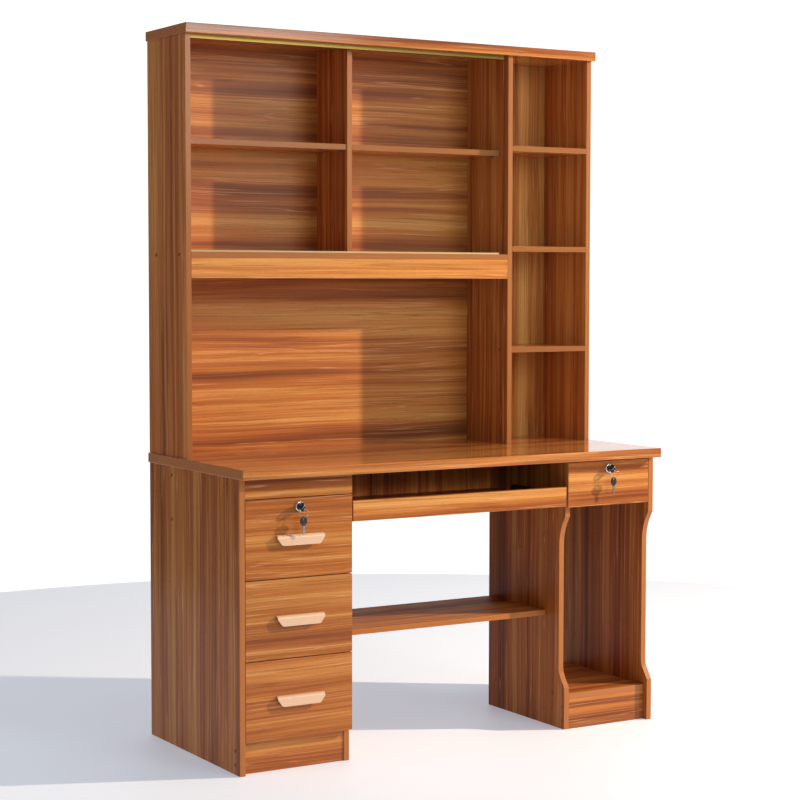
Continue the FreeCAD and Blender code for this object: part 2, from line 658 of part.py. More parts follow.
def track(label, end, bottom, height, opens_up):
    """A sliding-door track with two grooves, open up or down."""
    body = doc.addObject("PartDesign::Body", label)
    sketch = add_sketch(body, "YZ_Plane", label + "_section")
    half = "track_depth / 2"
    steps = [("0", "track_lip"), ("track_lip", half + " - track_lip / 2"),
             (half + " - track_lip / 2", half + " + track_lip / 2"),
             (half + " + track_lip / 2", "track_depth - track_lip"), ("track_depth - track_lip", "track_depth")]
    lip, web = (height, "track_lip / 2") if opens_up else ("0", height + " - track_lip / 2")
    level = [lip, web, lip, web, lip]
    base = "0" if opens_up else height
    corners = []
    for (start, stop), reach in zip(steps, level):
        corners += [(start, reach), (stop, reach)]
    corners += [("track_depth", base), ("0", base)]
    draw_outline(sketch, corners)
    pad(body, sketch, "( %s ) - board_thick" % end)
    place(body, "board_thick", "track_front", bottom)
    finish(body, label)


def shelf_pins():
    """Four pins under each adjustable shelf, standing out of the panels beside it."""
    pins = []
    height = "shelf_top - board_thick - pin_radius"
    sides = (("left_a", "board_thick", 1), ("left_b", "mid_left", -1),
             ("right_a", MID_RIGHT, 1), ("right_b", "bay_left", -1))
    for side, face, way in sides:
        for row in ("front", "rear"):
            pin = doc.addObject("Part::Cylinder", "pin_%s_%s" % (side, row))
            pin.setExpression("Radius", cell("pin_radius"))
            pin.setExpression("Height", cell("pin_length"))
            pin.Placement.Rotation = FreeCAD.Rotation(FreeCAD.Vector(0, 1, 0), 90 * way)
            place(pin, face, "pin_" + row, height)
            pins.append(pin)
    group("shelf_pins", pins)


def hutch():
    rise = ("worktop_top", HUTCH_UNDER)
    grooved_panel("hutch_left_panel", "0", *rise, groove_left=False, groove_right=True)
    grooved_panel("hutch_right_panel", RIGHT_INSIDE, *rise, groove_left=True, groove_right=False)
    grooved_panel("hutch_tall_divider", "bay_left", *rise, groove_left=True, groove_right=True)
    board("hutch_top_board", ("0 - side_overhang", CARCASS + " + side_overhang"),
          ("hutch_front - hutch_front_overhang", DEPTH), (HUTCH_UNDER, "hutch_top"), "worktop_round")
    let_in = ("board_thick - groove_depth", "bay_left + groove_depth")
    board("hutch_back_wide", let_in, (BACK_FRONT, BACK_FACE), rise, None)
    let_in = (BAY_RIGHT + " - groove_depth", RIGHT_INSIDE + " + groove_depth")
    board("hutch_back_narrow", let_in, (BACK_FRONT, BACK_FACE), rise, None)
    inside = ("board_thick", "bay_left")
    board("hutch_long_shelf", inside, ("hutch_front", BACK_FRONT),
          ("hutch_floor_top - board_thick", "hutch_floor_top"))
    board("hutch_apron", inside, ("hutch_front", "hutch_front + board_thick"),
          ("hutch_floor_top - board_thick - apron_height", "hutch_floor_top - board_thick"))
    board("hutch_middle_divider", ("mid_left", MID_RIGHT), ("mid_front", BACK_FRONT),
          ("hutch_floor_top", HUTCH_UNDER))
    level = ("shelf_top - board_thick", "shelf_top")
    run = ("shelf_front", BACK_FRONT + " - shelf_play")
    group("adjustable_shelves", [
        block("adjustable_shelf_left", ("board_thick + shelf_play", "mid_left - shelf_play"), run, level),
        block("adjustable_shelf_right", (MID_RIGHT + " + shelf_play", "bay_left - shelf_play"), run, level)])
    group("column_shelves", [
        block("column_shelf_" + name, (BAY_RIGHT, RIGHT_INSIDE), ("hutch_front", BACK_FRONT),
              ("column_%s - board_thick" % name, "column_" + name)) for name in ("low", "mid", "high")])
    track("upper_door_track", "upper_track_end", HUTCH_UNDER + " - upper_track_height", "upper_track_height", False)
    track("lower_door_track", "lower_track_end", "hutch_floor_top", "lower_track_height", True)
    board("door_stop", ("lower_track_end + front_gap", "lower_track_end + front_gap + stop_length"),
          ("track_front", "track_front + track_depth"),
          ("hutch_floor_top", "hutch_floor_top + lower_track_height"), "edge_round")
    shelf_pins()


# ---------------------------------------------------------------- screw caps

def cap_disc(index, turn, left, front, bottom):
    disc = doc.addObject("Part::Cylinder", "cap_%d" % index)
    disc.setExpression("Radius", cell("cap_radius"))
    disc.setExpression("Height", cell("cap_proud"))
    disc.Placement.Rotation = turn
    place(disc, left, front, bottom)
    return disc


def screw_caps():
    """Plastic caps over the connecting screws, on the faces they are driven from."""
    to_left = FreeCAD.Rotation(FreeCAD.Vector(0, 1, 0), -90)
    to_right = FreeCAD.Rotation(FreeCAD.Vector(0, 1, 0), 90)
    upright = FreeCAD.Rotation()
    rail_middle = "inner_back + board_thick / 2"
    rail = [(rail_middle, WORKTOP_UNDER + " - rail_cap_edge"),
            (rail_middle, WORKTOP_UNDER + " - rail_height + rail_cap_edge")]
    rows = ("hutch_cap_front", "hutch_cap_rear")
    columns = [(row, "column_%s - board_thick / 2" % shelf) for shelf in ("low", "mid", "high") for row in rows]
    plinth = "plinth_set_back + board_thick / 2"
    pedestal = [(plinth, "plinth_cap_low"), (plinth, "plinth_cap_high")]
    bay_line = "inner_set_back + board_thick / 2"
    bay = [(bay_line, "plinth_cap_low"), (bay_line, "plinth_cap_high"),
           ("floor_cap_front", "bay_floor_top - board_thick / 2"),
           ("floor_cap_rear", "bay_floor_top - board_thick / 2")]
    long_shelf = [(row, "hutch_floor_top - board_thick / 2") for row in rows]
    faces = [("0", to_left, rail + pedestal + long_shelf), ("bay_left", to_left, bay + columns[:2]),
             (CARCASS, to_right, rail + bay + columns)]
    # the tall divider stands over the bay's inner panel, so both faces share one line
    spots = [(face, turn, y, z) for face, turn, places in faces for y, z in places]
    for left in ("board_thick / 2", "mid_left + board_thick / 2", "bay_left + board_thick / 2",
                 RIGHT_INSIDE + " + board_thick / 2"):
        spots += [(left, upright, row, "hutch_top") for row in rows]
    group("screw_caps", [cap_disc(i, turn, x, y, z) for i, (x, turn, y, z) in enumerate(spots)])


# ---------------------------------------------------------------- build and export

def check_document():
    for item in doc.Objects:
        if "Invalid" in item.State or "Error" in item.State:
            raise RuntimeError("%s is %s" % (item.Name, item.State))
    for piece in pieces:
        if piece.Shape.isNull() or not piece.Shape.isValid():
            raise RuntimeError(piece.Label + " has no valid shape")


def export():
    os.makedirs("parts", exist_ok=True)
    for piece in pieces:
        piece.Shape.exportStep("parts/%s.step" % piece.Label)


fill_sheet()
worktop()
carcass()
group("slide_channels", drawers() + keyboard_tray())
locks()
hutch()
screw_caps()
doc.recompute()
check_document()
export()
print(len(pieces), "pieces")
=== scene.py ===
import math

import bmesh
import bpy
from bpy.props import FloatProperty, FloatVectorProperty, PointerProperty
from mathutils import Matrix, Vector


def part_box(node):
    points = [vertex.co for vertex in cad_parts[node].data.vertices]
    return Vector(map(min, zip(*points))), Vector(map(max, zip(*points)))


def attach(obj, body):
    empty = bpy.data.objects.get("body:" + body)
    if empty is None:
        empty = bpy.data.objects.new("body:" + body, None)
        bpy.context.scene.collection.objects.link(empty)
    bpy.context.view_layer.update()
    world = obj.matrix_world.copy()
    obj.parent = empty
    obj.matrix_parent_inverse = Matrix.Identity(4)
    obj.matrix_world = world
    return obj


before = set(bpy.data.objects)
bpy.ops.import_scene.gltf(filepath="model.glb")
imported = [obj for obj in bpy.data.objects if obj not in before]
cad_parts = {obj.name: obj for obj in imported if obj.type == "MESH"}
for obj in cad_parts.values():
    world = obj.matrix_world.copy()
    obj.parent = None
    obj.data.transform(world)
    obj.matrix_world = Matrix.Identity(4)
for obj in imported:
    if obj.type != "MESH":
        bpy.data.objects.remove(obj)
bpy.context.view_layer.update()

bl_info = {
    "name": "Computer desk with hutch",
    "version": (1, 0, 0),
    "blender": (4, 5, 0),
    "location": "View3D > Sidebar > Desk",
    "description": "Finishes, fittings and stage of a melamine computer desk",
    "category": "Add Mesh",
}

MM = 0.001


# ---------------------------------------------------------------- colours and small helpers

def linear(code):
    """An sRGB hex code as linear red, green and blue."""
    channels = [int(code[i:i + 2], 16) / 255 for i in (0, 2, 4)]
    return tuple(c / 12.92 if c <= 0.04045 else ((c + 0.055) / 1.055) ** 2.4 for c in channels)


def opaque(colour):
    return (*colour, 1.0)


def colour_property(label, description, code):
    return FloatVectorProperty(name=label, description=description, subtype="COLOR",
                               default=linear(code), min=0.0, max=1.0)


def length_property(label, description, millimetres):
    return FloatProperty(name=label, description=description, subtype="DISTANCE", unit="LENGTH",
                         default=millimetres * MM, min=0.0)


# ---------------------------------------------------------------- what a user would change

class FoilSettings(bpy.types.PropertyGroup):
    """Printed foil of the boards and the plain edging on their edges."""
    pale: colour_property("Pale grain", "Lightest bands of the print", "da9753")
    warm: colour_property("Warm grain", "Most of the print", "c57739")
    russet: colour_property("Russet grain", "Redder bands of the print", "a85d2f")
    dark: colour_property("Dark grain", "Darkest bands", "824523")
    vein: colour_property("Vein", "Thin dark lines", "7c4221")
    glint: colour_property("Glint", "Thin pale lines", "ebaf7a")
    edging: colour_property("Edging", "Plastic strip on the boards' edges", "b97443")
    zone_width: length_property("Zone width", "Slow change of tone across the board", 60)
    band_width: length_property("Band width", "Across the grain, from band to band", 17)
    band_length: length_property("Band length", "Along the grain, before a band changes", 1300)
    streak_width: length_property("Streak width", "Fine streaks inside the bands", 3.6)
    pore_width: length_property("Pore width", "Short dark dashes", 1.3)
    wander: length_property("Wander", "How far the bands stray from straight", 9)


class FittingSettings(bpy.types.PropertyGroup):
    """Metal and plastic fittings."""
    pull: colour_property("Pulls", "Satin lacquer on the drawer pulls", "eec6a8")
    chrome: colour_property("Chrome", "Lock collars", "dfe1e4")
    nickel: colour_property("Nickel", "Keys, plugs and shelf pins", "b9b8b4")
    bow: colour_property("Key bow", "Plastic over the bow of each key", "14171a")
    rail: colour_property("Slides", "Black coat of the slides", "1b1b1d")
    stop: colour_property("Door stop", "Rubber stop in the lower track", "1c1a19")
    gold: colour_property("Upper track", "Anodised sliding-door track", "98723c")
    cream: colour_property("Lower track", "Extruded plastic track", "c6a878")
    cap: colour_property("Screw caps", "Caps over the connecting screws", "6d3d20")
    bow_length: length_property("Bow length", "Key bow, along the blade", 23)
    bow_thickness: length_property("Bow thickness", "Plastic over the bow", 3.6)
    eye_radius: length_property("Eye radius", "Hole in the bow", 3.25)
    eye_inset: length_property("Eye inset", "Hole from the end of the bow", 5)
    cover_margin: length_property("Cover margin", "Plastic cover past the steel bow", 0.3)
    cover_edge: length_property("Cover edge", "Rounding of the cover's rims", 0.7)
    bezel_crown: length_property("Bezel crown", "Height of the bezel's dome", 1.5)
    bezel_seat: length_property("Bezel seat", "How far the bezel is let into the collar", 0.2)
    ring_sag: length_property("Ring sag", "Ring's wire below the middle of the eye it hangs in", 2.5)
    ring_radius: length_property("Ring radius", "Key ring, at the middle of its wire", 11.3)
    spare_turn: FloatProperty(name="Spare key turn", description="Hanging key about the vertical",
                              subtype="ANGLE", unit="ROTATION", default=math.radians(15))


class StageSettings(bpy.types.PropertyGroup):
    """Floor, light and camera."""
    floor: colour_property("Floor", "Plain pale floor", "eaeef6")
    floor_glow: colour_property("Floor glow", "Light that the floor gives back besides the lamps'",
                                "dfeaff")
    floor_radius: length_property("Floor radius", "The floor is round", 2800)
    lens: FloatProperty(name="Lens", description="Focal length on a 36 mm sensor", default=90.27,
                        unit="CAMERA")
    yaw: FloatProperty(name="Yaw", description="Camera's heading, from the back towards the right",
                       subtype="ANGLE", unit="ROTATION", default=math.radians(31.60))
    pitch: FloatProperty(name="Pitch", description="Camera's tilt", subtype="ANGLE",
                         unit="ROTATION", default=math.radians(-3.53))
    roll: FloatProperty(name="Roll", description="Camera's roll", subtype="ANGLE",
                        unit="ROTATION", default=math.radians(0.14))
    eye: FloatVectorProperty(name="Camera place", description="Camera in the desk's frame",
                             subtype="TRANSLATION", unit="LENGTH",
                             default=(-2.7295, -4.5942, 1.2143))
    shift: FloatProperty(name="Shift", description="Sideways shift of the picture", default=-0.05)


# ---------------------------------------------------------------- shader nodes

def add(tree, kind, inputs=None, **settings):
    """Add one node, set its properties, and set or link its inputs by name or number."""
    node = tree.nodes.new(kind)
    for name, value in settings.items():
        setattr(node, name, value)
    for name, value in (inputs or {}).items():
        if isinstance(value, bpy.types.NodeSocket):
            tree.links.new(value, node.inputs[name])
        else:
            node.inputs[name].default_value = value
    return node


def new_material(name):
    """A material with one Principled shader; returns it, its tree and the shader."""
    material = bpy.data.materials.new(name)
    material.use_nodes = True
    return material, material.node_tree, material.node_tree.nodes["Principled BSDF"]


def ramp(tree, factor, stops, smooth=True):
    node = add(tree, "ShaderNodeValToRGB", {"Fac": factor})
    node.color_ramp.interpolation = "EASE" if smooth else "LINEAR"
    elements = node.color_ramp.elements
    while len(elements) < len(stops):
        elements.new(0.5)
    for element, (place, colour) in zip(elements, stops):
        element.position = place
        element.color = opaque(colour)
    return node.outputs["Color"]


def grey_ramp(tree, factor, stops):
    return ramp(tree, factor, [(place, (level, level, level)) for place, level in stops])


def stretched_noise(tree, vector, cell, detail, roughness=0.55, seed=(0, 0, 0), output="Fac"):
    """Noise whose cells have the given size in metres along x, y and z."""
    mapping = add(tree, "ShaderNodeMapping", {
        "Vector": vector, "Location": seed, "Scale": tuple(1 / side for side in cell)})
    noise = add(tree, "ShaderNodeTexNoise", {
        "Vector": mapping.outputs["Vector"], "Scale": 1.0, "Detail": detail,
        "Roughness": roughness})
    return noise.outputs[output]


def mix_colour(tree, blend, factor, first, second):
    node = add(tree, "ShaderNodeMix", {"Factor": factor}, data_type="RGBA", blend_type=blend)
    for socket, value in ((node.inputs[6], first), (node.inputs[7], second)):
        if isinstance(value, bpy.types.NodeSocket):
            tree.links.new(value, socket)
        else:
            socket.default_value = opaque(value)
    return node.outputs[2]


def maths(tree, operation, first, second, third=None):
    inputs = {0: first, 1: second}
    if third is not None:
        inputs[2] = third
    return add(tree, "ShaderNodeMath", inputs, operation=operation).outputs[0]


# ---------------------------------------------------------------- melamine foil

AXES = "XYZ"
# cells of the bands' stray, across and along the grain, and the length of a pore
BEND_CELL = (110 * MM, 500 * MM)
PORE_LENGTH = 16 * MM
# unevenness that hands and cloths leave in the skin
HAZE_CELL = 90 * MM
PORE_DEPTH = 0.12 * MM
# a normal with more than this along an axis belongs to a face square to it
SQUARE_ON = 0.80


def cell_size(grain, across, along):
    """A noise cell that is long down the grain and narrow the other two ways."""
    return tuple(along if axis == grain else across for axis in AXES)


def melamine(name, grain, face, seed, gloss=0.22, ior=1.3, contrast=1.0, painted_shade=1.0, painted_edge_shade=1.0,
             printed_edge=False):
    """Melamine-faced board: a wood print under a clear resin skin, pressed against a satin plate.

    grain is the axis the print runs along and face the axis square to the printed faces. The skin
    gives a broad, even sheen; the print has bands, fine streaks, dark veins and pores. The edges,
    whose normals turn away from face, show a plain plastic strip instead.
    """
    foil = bpy.context.scene.desk_foil
    material, tree, shader = new_material(name)
    coordinates = add(tree, "ShaderNodeTexCoord")
    place = coordinates.outputs["Object"]
    # where in the endless print this board was cut
    shift = (seed * 3.7, seed * 5.3, seed * 7.9)

    # the bands stray sideways over long stretches
    stray = stretched_noise(tree, place, cell_size(grain, *BEND_CELL), 1, 0.5, shift, "Color")
    centred = add(tree, "ShaderNodeVectorMath", {0: stray, 1: (0.5, 0.5, 0.5)}, operation="SUBTRACT")
    bent = add(tree, "ShaderNodeVectorMath", {
        0: centred.outputs[0], 1: tuple([foil.wander * 2] * 3), 2: place},
        operation="MULTIPLY_ADD").outputs[0]

    # each layer of the print is read from its own part of the noise
    length = foil.band_length
    zones = stretched_noise(tree, bent, cell_size(grain, foil.zone_width, length * 1.6), 1, 0.5,
                            tuple(s + 5 for s in shift))
    bands = stretched_noise(tree, bent, cell_size(grain, foil.band_width, length), 2.5, 0.55, shift)
    streaks = stretched_noise(tree, bent, cell_size(grain, foil.streak_width, length * 0.4), 3, 0.6,
                              shift)
    veins = stretched_noise(tree, bent, cell_size(grain, foil.band_width * 0.8, length * 1.2), 2,
                            0.5, tuple(s + 11 for s in shift))
    pores = stretched_noise(tree, bent, cell_size(grain, foil.pore_width, PORE_LENGTH), 1, 0.5, shift)

    spread = maths(tree, "MULTIPLY_ADD", zones, 0.85 * contrast,
                   maths(tree, "MULTIPLY", bands, 0.75 * contrast))
    tone = maths(tree, "ADD", spread, 0.50 - 0.80 * contrast)
    print_stops = [(0.30, foil.dark), (0.41, foil.russet), (0.51, foil.warm), (0.66, foil.pale)]
    print_colour = ramp(tree, tone, print_stops, smooth=False)
    # painted shade: the whole print is scaled by the board's shade factor, darker for boards that stand
    # in shade
    streak_stops = [(0.30, (1 - 0.22 * contrast) * painted_shade), (0.60, painted_shade)]
    streak_level = grey_ramp(tree, streaks, streak_stops)
    colour = mix_colour(tree, "MULTIPLY", 1.0, print_colour, streak_level)
    vein_level = grey_ramp(tree, veins, [(0.535, 0), (0.560, 0.60 * contrast), (0.585, 0)])
    colour = mix_colour(tree, "MIX", vein_level, colour, foil.vein)
    glint_level = grey_ramp(tree, veins, [(0.430, 0), (0.450, 0.55 * contrast), (0.470, 0)])
    colour = mix_colour(tree, "MIX", glint_level, colour, foil.glint)
    pore_level = grey_ramp(tree, pores, [(0.30, 0.75), (0.42, 1.0)])
    colour = mix_colour(tree, "MULTIPLY", 0.6, colour, pore_level)

    # painted shade: the edging strip is scaled by the board's edge shade factor, darker on the hutch's
    # edges
    strip = grey_ramp(tree, streaks, [(0.25, 0.86 * painted_edge_shade), (0.75, painted_edge_shade)])
    strip_colour = mix_colour(tree, "MULTIPLY", 1.0, foil.edging, strip)
    normals = add(tree, "ShaderNodeSeparateXYZ", {0: coordinates.outputs["Normal"]})
    # a printed edge runs round the long sides too, so only the ends across the grain are plain
    across = maths(tree, "ABSOLUTE", normals.outputs[grain if printed_edge else face], 0.0)
    on_print = maths(tree, "LESS_THAN" if printed_edge else "GREATER_THAN", across, SQUARE_ON)
    colour = mix_colour(tree, "MIX", on_print, strip_colour, colour)
    tree.links.new(colour, shader.inputs["Base Color"])

    # handling leaves the resin skin a little uneven, and the print's pores are pressed into it
    haze = stretched_noise(tree, place, (HAZE_CELL, HAZE_CELL, HAZE_CELL), 3, 0.6, shift)
    tree.links.new(maths(tree, "MULTIPLY_ADD", haze, gloss * 0.6, gloss * 0.7),
                   shader.inputs["Roughness"])
    relief = maths(tree, "MULTIPLY_ADD", pore_level, 0.6, maths(tree, "MULTIPLY", streaks, 0.4))
    bump = add(tree, "ShaderNodeBump", {"Height": relief, "Strength": 0.12, "Distance": PORE_DEPTH})
    tree.links.new(bump.outputs["Normal"], shader.inputs["Normal"])
    shader.inputs["IOR"].default_value = ior
    return material


# ---------------------------------------------------------------- metals and plastics

# length and depth of a drawing line in metal; the lines are 0.3 to 0.4 mm apart, which is
# coarser than real ones, so that they show
LINE_LENGTH = 60 * MM
LINE_DEPTH = 0.05 * MM


def speckled(name, colour, spread, cell, roughness, roughness_spread, metallic=0.0, ior=1.5,
             bump=0.0):
    """A fine-grained surface: colour and roughness vary a little from one cell to the next."""
    material, tree, shader = new_material(name)
    place = add(tree, "ShaderNodeTexCoord").outputs["Object"]
    fine = stretched_noise(tree, place, (cell, cell, cell), 3)
    broad = stretched_noise(tree, place, (cell * 40, cell * 40, cell * 40), 2)
    level = maths(tree, "MULTIPLY_ADD", fine, spread, 1 - spread)
    level = maths(tree, "MULTIPLY", level, maths(tree, "MULTIPLY_ADD", broad, spread, 1 - spread / 2))
    tint = add(tree, "ShaderNodeCombineColor", {"Red": level, "Green": level, "Blue": level}).outputs[0]
    tree.links.new(mix_colour(tree, "MULTIPLY", 1.0, colour, tint), shader.inputs["Base Color"])
    dullness = maths(tree, "MULTIPLY_ADD", broad, roughness_spread, roughness - roughness_spread / 2)
    tree.links.new(dullness, shader.inputs["Roughness"])
    if bump:
        relief = add(tree, "ShaderNodeBump", {"Height": fine, "Strength": 0.25, "Distance": bump})
        tree.links.new(relief.outputs["Normal"], shader.inputs["Normal"])
    shader.inputs["Metallic"].default_value = metallic
    if not metallic:
        shader.inputs["IOR"].default_value = ior
    return material


def drawn_metal(name, colour, line, grain, roughness):
    """Metal with drawing lines down one axis, as on extruded, rolled or ground pieces."""
    material, tree, shader = new_material(name)
    place = add(tree, "ShaderNodeTexCoord").outputs["Object"]
    lines = stretched_noise(tree, place, cell_size(grain, line, LINE_LENGTH), 3, 0.65)
    level = grey_ramp(tree, lines, [(0.3, 0.78), (0.7, 1.0)])
    tree.links.new(mix_colour(tree, "MULTIPLY", 1.0, colour, level), shader.inputs["Base Color"])
    tree.links.new(maths(tree, "MULTIPLY_ADD", lines, 0.2, roughness - 0.1),
                   shader.inputs["Roughness"])
    relief = add(tree, "ShaderNodeBump", {"Height": lines, "Strength": 0.2, "Distance": LINE_DEPTH})
    tree.links.new(relief.outputs["Normal"], shader.inputs["Normal"])
    shader.inputs["Metallic"].default_value = 1.0
    return material


# ---------------------------------------------------------------- meshes

def dress(node, material):
    """Give a CAD node its finished material."""
    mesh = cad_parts[node].data
    mesh.materials.clear()
    mesh.materials.append(material)


def finish_mesh(bm, name, material, body, place=None, smooth=math.radians(35)):
    """Turn a bmesh into an object that rides on a body, with its place in its mesh."""
    if place is not None:
        bmesh.ops.transform(bm, matrix=place, verts=bm.verts)
    bmesh.ops.recalc_face_normals(bm, faces=bm.faces)
    mesh = bpy.data.meshes.new(name)
    bm.to_mesh(mesh)
    bm.free()
    mesh.materials.append(material)
    mesh.shade_smooth()
    mesh.set_sharp_from_angle(angle=smooth)
    piece = bpy.data.objects.new(name, mesh)
    bpy.context.scene.collection.objects.link(piece)
    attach(piece, body)
    return piece


def axes_matrix(x, y, z, origin):
    """A matrix that sends the local axes to the given directions and the origin to a place."""
    matrix = Matrix((x, y, z)).transposed().to_4x4()
    matrix.translation = origin
    return matrix


# ---------------------------------------------------------------- pieces

BOARDS = (
    # node, grain, face
    ("left_side_panel", "Z", "X"), ("right_side_panel", "Z", "X"),
    ("pedestal_inner_panel", "Z", "X"), ("bay_inner_panel", "Z", "X"), ("worktop", "X", "Z"),
    ("pedestal_fascia", "X", "Y"), ("pedestal_plinth", "X", "Y"), ("pedestal_floor", "X", "Z"),
    ("bay_plinth", "X", "Y"), ("bay_floor", "X", "Z"), ("rear_rail", "Z", "Y"),
    ("footrest_shelf", "X", "Z"), ("hutch_left_panel", "Z", "X"), ("hutch_right_panel", "Z", "X"),
    ("hutch_tall_divider", "Z", "X"), ("hutch_top_board", "X", "Z"), ("hutch_long_shelf", "X", "Z"),
    ("hutch_apron", "X", "Y"), ("hutch_middle_divider", "Z", "X"),
    ("adjustable_shelves", "X", "Z"), ("column_shelves", "X", "Z"), ("hutch_back_wide", "X", "Y"),
    ("hutch_back_narrow", "Z", "Y"), ("drawer_1_front", "X", "Y"), ("drawer_2_front", "X", "Y"),
    ("drawer_3_front", "X", "Y"), ("small_drawer_front", "X", "Y"), ("tray_front", "X", "Y"),
    ("tray_board", "X", "Z"),
)
# roughness and index of the skin: the tops are pressed against a polished plate, the panels
# that stand on the floor and the back panels against a dull one, the footrest against a matt one
SATIN = (0.22, 1.30)
SKINS = {
    "worktop": (0.09, 1.50), "hutch_top_board": (0.12, 1.46), "footrest_shelf": (0.55, 1.10),
    "left_side_panel": (0.30, 1.22), "bay_inner_panel": (0.30, 1.20),
    "right_side_panel": (0.30, 1.20), "hutch_back_wide": (0.38, 1.30),
    "hutch_back_narrow": (0.38, 1.30),
}
# painted shade: these boards' print is darkened for light they miss: the side panels facing away from
# the key lamp, the fascia under the worktop's overhang, the footrest in the kneehole, the hutch's
# dividers and the drawer fronts
PAINTED_SHADES = {
    "left_side_panel": 0.78, "bay_inner_panel": 0.72, "right_side_panel": 0.78,
    "footrest_shelf": 0.70, "drawer_1_front": 0.92, "drawer_2_front": 0.84,
    "drawer_3_front": 0.94, "pedestal_fascia": 0.82, "hutch_middle_divider": 0.92,
    "hutch_tall_divider": 0.92,
}
# painted shade: the hutch's edging is darkened to take back light that the fill lamps throw on the
# shelves' and panels' edges
PAINTED_EDGE_SHADES = {
    "adjustable_shelves": 0.66, "column_shelves": 0.68, "hutch_long_shelf": 0.78,
    "hutch_left_panel": 0.78, "hutch_right_panel": 0.82, "hutch_tall_divider": 0.80,
    "hutch_middle_divider": 0.80,
}
# how strongly the print's bands stand out on the boards
BOARD_CONTRAST = 0.75
# the thick tops have the print carried round their edges
PRINTED_EDGES = ("worktop", "hutch_top_board")
DRAWERS = ("drawer_1", "drawer_2", "drawer_3", "small_drawer")
# the metal flake in the pulls' lacquer
PEARL = 0.15


class DESK_OT_boards(bpy.types.Operator):
    """Face every board with printed melamine foil, its grain running the way the board was cut"""
    bl_idname = "desk.boards"
    bl_label = "Boards"

    def execute(self, context):
        for seed, (node, grain, face) in enumerate(BOARDS, start=1):
            foil = melamine("Melamine foil, " + node.replace("_", " "), grain, face, seed,
                            *SKINS.get(node, SATIN), contrast=BOARD_CONTRAST,
                            painted_shade=PAINTED_SHADES.get(node, 1.0), painted_edge_shade=PAINTED_EDGE_SHADES.get(node, 1.0),
                            printed_edge=node in PRINTED_EDGES)
            dress(node, foil)
        return {"FINISHED"}


class DESK_OT_drawer_boxes(bpy.types.Operator):
    """Finish the drawer boxes, their bottoms and the pedestal's back"""
    bl_idname = "desk.drawer_boxes"
    bl_label = "Drawer boxes"

    def execute(self, context):
        side = melamine("Foil-wrapped drawer board", "Y", "X", 40, 0.34, contrast=0.6)
        bottom = melamine("Printed hardboard, drawer bottoms", "Y", "Z", 41, 0.42, contrast=0.6)
        back = melamine("Printed hardboard, back", "Z", "Y", 42, 0.42, contrast=0.7)
        for drawer in DRAWERS:
            dress(drawer + "_box", side)
            dress(drawer + "_bottom", bottom)
        dress("pedestal_back_panel", back)
        return {"FINISHED"}


class DESK_OT_slides(bpy.types.Operator):
    """Coat the slides of the drawers and the tray"""
    bl_idname = "desk.slides"
    bl_label = "Slides"

    def execute(self, context):
        # cold-rolled steel with a black electrophoretic coat: thin, satin and slightly pebbled
        coat = speckled("Black-coated steel", context.scene.desk_fittings.rail, 0.12, 0.6 * MM,
                        0.38, 0.14, ior=1.55, bump=0.04 * MM)
        dress("slide_channels", coat)
        dress("tray_slide_rails", coat)
        for drawer in DRAWERS:
            dress(drawer + "_slide_rails", coat)
        return {"FINISHED"}


class DESK_OT_pulls(bpy.types.Operator):
    """Lacquer the drawer pulls"""
    bl_idname = "desk.pulls"
    bl_label = "Pulls"

    def execute(self, context):
        # bent zinc strip under a champagne lacquer: satin with a slight pearl
        lacquer = speckled("Champagne lacquer on zinc", context.scene.desk_fittings.pull, 0.06,
                           0.35 * MM, 0.34, 0.08, ior=1.5, bump=0.01 * MM)
        lacquer.node_tree.nodes["Principled BSDF"].inputs["Metallic"].default_value = PEARL
        for drawer in DRAWERS[:3]:
            dress(drawer + "_pull", lacquer)
        return {"FINISHED"}


# the bezel's bore over its outside, then corners: of its domed section, of its full turn and
# of a key cover's outline
BEZEL_BORE = 0.56
BEZEL_STEPS = 10
ROUND_STEPS = 64
COVER_STEPS = 48


class DESK_OT_locks(bpy.types.Operator):
    """Chrome the lock housings and add a domed bezel round each plug"""
    bl_idname = "desk.locks"
    bl_label = "Locks"

    def execute(self, context):
        fittings = context.scene.desk_fittings
        # bright electroplate: a near mirror with a little haze
        chrome = speckled("Chrome plate", fittings.chrome, 0.03, 0.5 * MM, 0.07, 0.06, metallic=1.0)
        # nickel over drawn steel: warm grey, softly shining, with fine lines
        nickel = drawn_metal("Nickel-plated steel", fittings.nickel, 0.35 * MM, "Y", 0.26)
        for lock, body in (("lock_1", "drawer_1"), ("lock_2", "small_drawer")):
            dress(lock + "_housing", chrome)
            dress(lock + "_plug", nickel)
            self.bezel(lock, body, fittings, chrome)
        dress("shelf_pins", nickel)
        return {"FINISHED"}

    def bezel(self, lock, body, fittings, chrome):
        """A domed ring on the collar's face, its section spun about the lock's axis."""
        low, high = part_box(lock + "_housing")
        outer = (high[0] - low[0]) / 2
        inner = outer * BEZEL_BORE
        centre = Vector(((low[0] + high[0]) / 2, low[1], (low[2] + high[2]) / 2))
        bm = bmesh.new()
        section = []
        for step in range(BEZEL_STEPS + 1):
            turn = math.pi * step / BEZEL_STEPS
            radius = (outer + inner) / 2 - math.cos(turn) * (outer - inner) / 2
            section.append(bm.verts.new((radius, 0, fittings.bezel_crown * math.sin(turn))))
        section.append(bm.verts.new((inner + (outer - inner) / 2, 0, -fittings.bezel_seat)))
        for start, end in zip(section, section[1:] + section[:1]):
            bm.edges.new((start, end))
        bmesh.ops.spin(bm, geom=bm.verts[:] + bm.edges[:], cent=(0, 0, 0), axis=(0, 0, 1),
                       angle=2 * math.pi, steps=ROUND_STEPS, use_merge=True)
        place = axes_matrix((1, 0, 0), (0, 0, 1), (0, -1, 0), centre)
        finish_mesh(bm, lock + "_bezel", chrome, body, place)


